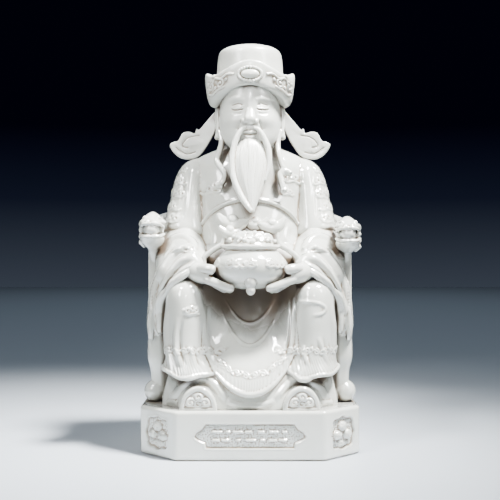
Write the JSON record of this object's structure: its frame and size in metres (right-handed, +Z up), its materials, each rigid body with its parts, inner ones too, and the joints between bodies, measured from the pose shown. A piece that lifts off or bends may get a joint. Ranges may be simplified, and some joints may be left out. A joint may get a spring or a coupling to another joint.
{
  "type": "caishen figure",
  "caption": "Seated bearded god of wealth in glazed white porcelain, holding a bowl of ingots in a dragon-armed chair on an octagonal plinth.",
  "frame": {"origin": "centre of the plinth's flat underside", "axes": "+Z up, -Y the way the figure faces, +X to the viewer's right from the front"},
  "size_m": [0.1653, 0.128, 0.3053],
  "materials": {
    "porcelain": "white glazed porcelain"
  },
  "bodies": {
    "root": {"caishen_figure": "porcelain"}
  },
  "joints": []
}
